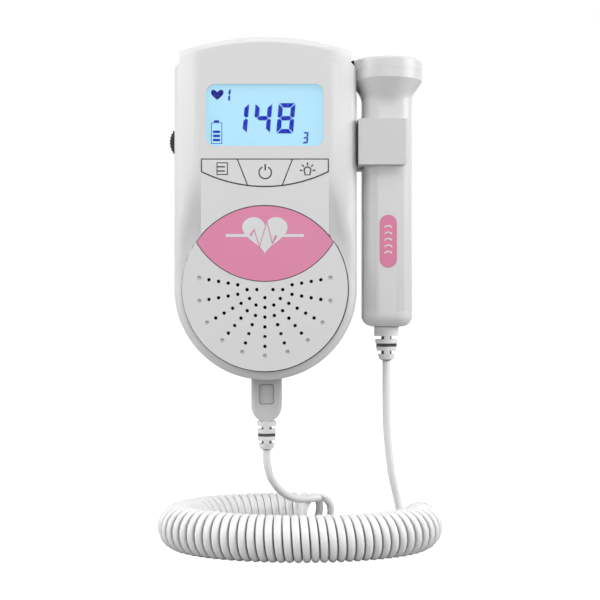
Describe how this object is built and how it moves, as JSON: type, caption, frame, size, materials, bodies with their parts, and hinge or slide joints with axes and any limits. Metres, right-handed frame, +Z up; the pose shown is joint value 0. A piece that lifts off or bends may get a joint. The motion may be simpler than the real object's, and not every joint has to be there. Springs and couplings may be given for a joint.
{
  "type": "fetal doppler monitor",
  "caption": "Handheld fetal heart doppler: rounded pocket unit with lit display, keys, speaker disc and volume wheel, clip-on probe, plug and curly cord.",
  "frame": {"origin": "centre of the flat rear face, at the unit's mid-height", "axes": "+Z up along the unit, +Y out of the rear face, +X to the viewer's right, towards the probe"},
  "size_m": [0.1143, 0.0694, 0.2028],
  "materials": {
    "front_shell": "satin moulded ABS, light warm grey white",
    "rear_shell": "satin moulded ABS, light grey white",
    "disc": "satin moulded ABS",
    "pink_badge": "pink printed overlay, satin",
    "window": "clear hard-coated acrylic",
    "display": "lit segment display, pale blue with dark blue segments",
    "backlight": "white light guide",
    "key": "satin moulded ABS with dark grey pad-printed symbols",
    "wheel": "black plastic, grooved rim",
    "board": "green solder mask",
    "dark_part": "black moulded component",
    "metal": "nickel-plated steel",
    "speaker_basket": "pressed steel",
    "speaker_paper": "black paper cone",
    "cell": "printed steel can",
    "holder": "satin moulded ABS",
    "probe_shell": "satin moulded ABS",
    "probe_face": "smooth moulded face",
    "crystal": "silvered ceramic",
    "damper": "filled rubber",
    "pink_label": "pink printed label, satin",
    "soft_white": "soft white overmould",
    "cord": "soft white jacket"
  },
  "bodies": {
    "unit": {"front_cover": "front_shell", "rear_cover": "rear_shell", "speaker_grille": "disc", "badge": "pink_badge", "display_window": "window", "lcd_panel": "display", "lcd_backlight": "backlight", "volume_pot": "metal", "main_board": "board", "tact_switches": "dark_part", "speaker_frame": "speaker_basket", "speaker_cone": "speaker_paper", "speaker_magnet": "metal", "probe_socket": "dark_part", "headphone_jack": "dark_part", "batteries": "cell", "battery_springs": "metal", "battery_contacts": "metal", "cover_screws": "metal", "probe_holder": "holder", "cord_plug_end": "cord", "cord_coil": "cord", "cord_probe_end": "cord"},
    "mode_key": {"mode_button": "key"},
    "power_key": {"power_button": "key"},
    "light_key": {"light_button": "key"},
    "wheel": {"volume_wheel": "wheel"},
    "door": {"battery_door": "rear_shell"},
    "probe": {"probe_handle": "probe_shell", "probe_head": "probe_shell", "probe_cap": "probe_face", "probe_crystals": "crystal", "probe_damper": "damper", "probe_board": "board", "probe_label": "pink_label", "probe_strain_relief": "soft_white"},
    "plug": {"plug_body": "soft_white", "plug_shell": "metal", "plug_strain_relief": "soft_white"}
  },
  "joints": [
    {"name": "mode_press", "type": "slide", "parent": "unit", "child": "mode_key", "axis": [0, 1, 0], "range_m": [0, 0.0006], "stiffness_N_per_m": 600},
    {"name": "power_press", "type": "slide", "parent": "unit", "child": "power_key", "axis": [0, 1, 0], "range_m": [0, 0.0006], "stiffness_N_per_m": 600},
    {"name": "light_press", "type": "slide", "parent": "unit", "child": "light_key", "axis": [0, 1, 0], "range_m": [0, 0.0006], "stiffness_N_per_m": 600},
    {"name": "volume_turn", "type": "hinge", "parent": "unit", "child": "wheel", "pos_m": [-0.0306, -0.0224, 0.02625], "axis": [0, -1, 0], "range_deg": [-135, 135]},
    {"name": "door_open", "type": "hinge", "parent": "unit", "child": "door", "pos_m": [0, 0, 0.016], "axis": [1, 0, 0], "range_deg": [0, 75]},
    {"name": "plug_pull", "type": "slide", "parent": "unit", "child": "plug", "axis": [0, 0, -1], "range_m": [0, 0.01], "deforming": ["cord_plug_end"]},
    {"name": "probe_lift", "type": "slide", "parent": "unit", "child": "probe", "axis": [0, 0, 1], "range_m": [0, 0.1], "deforming": ["cord_probe_end"]}
  ]
}
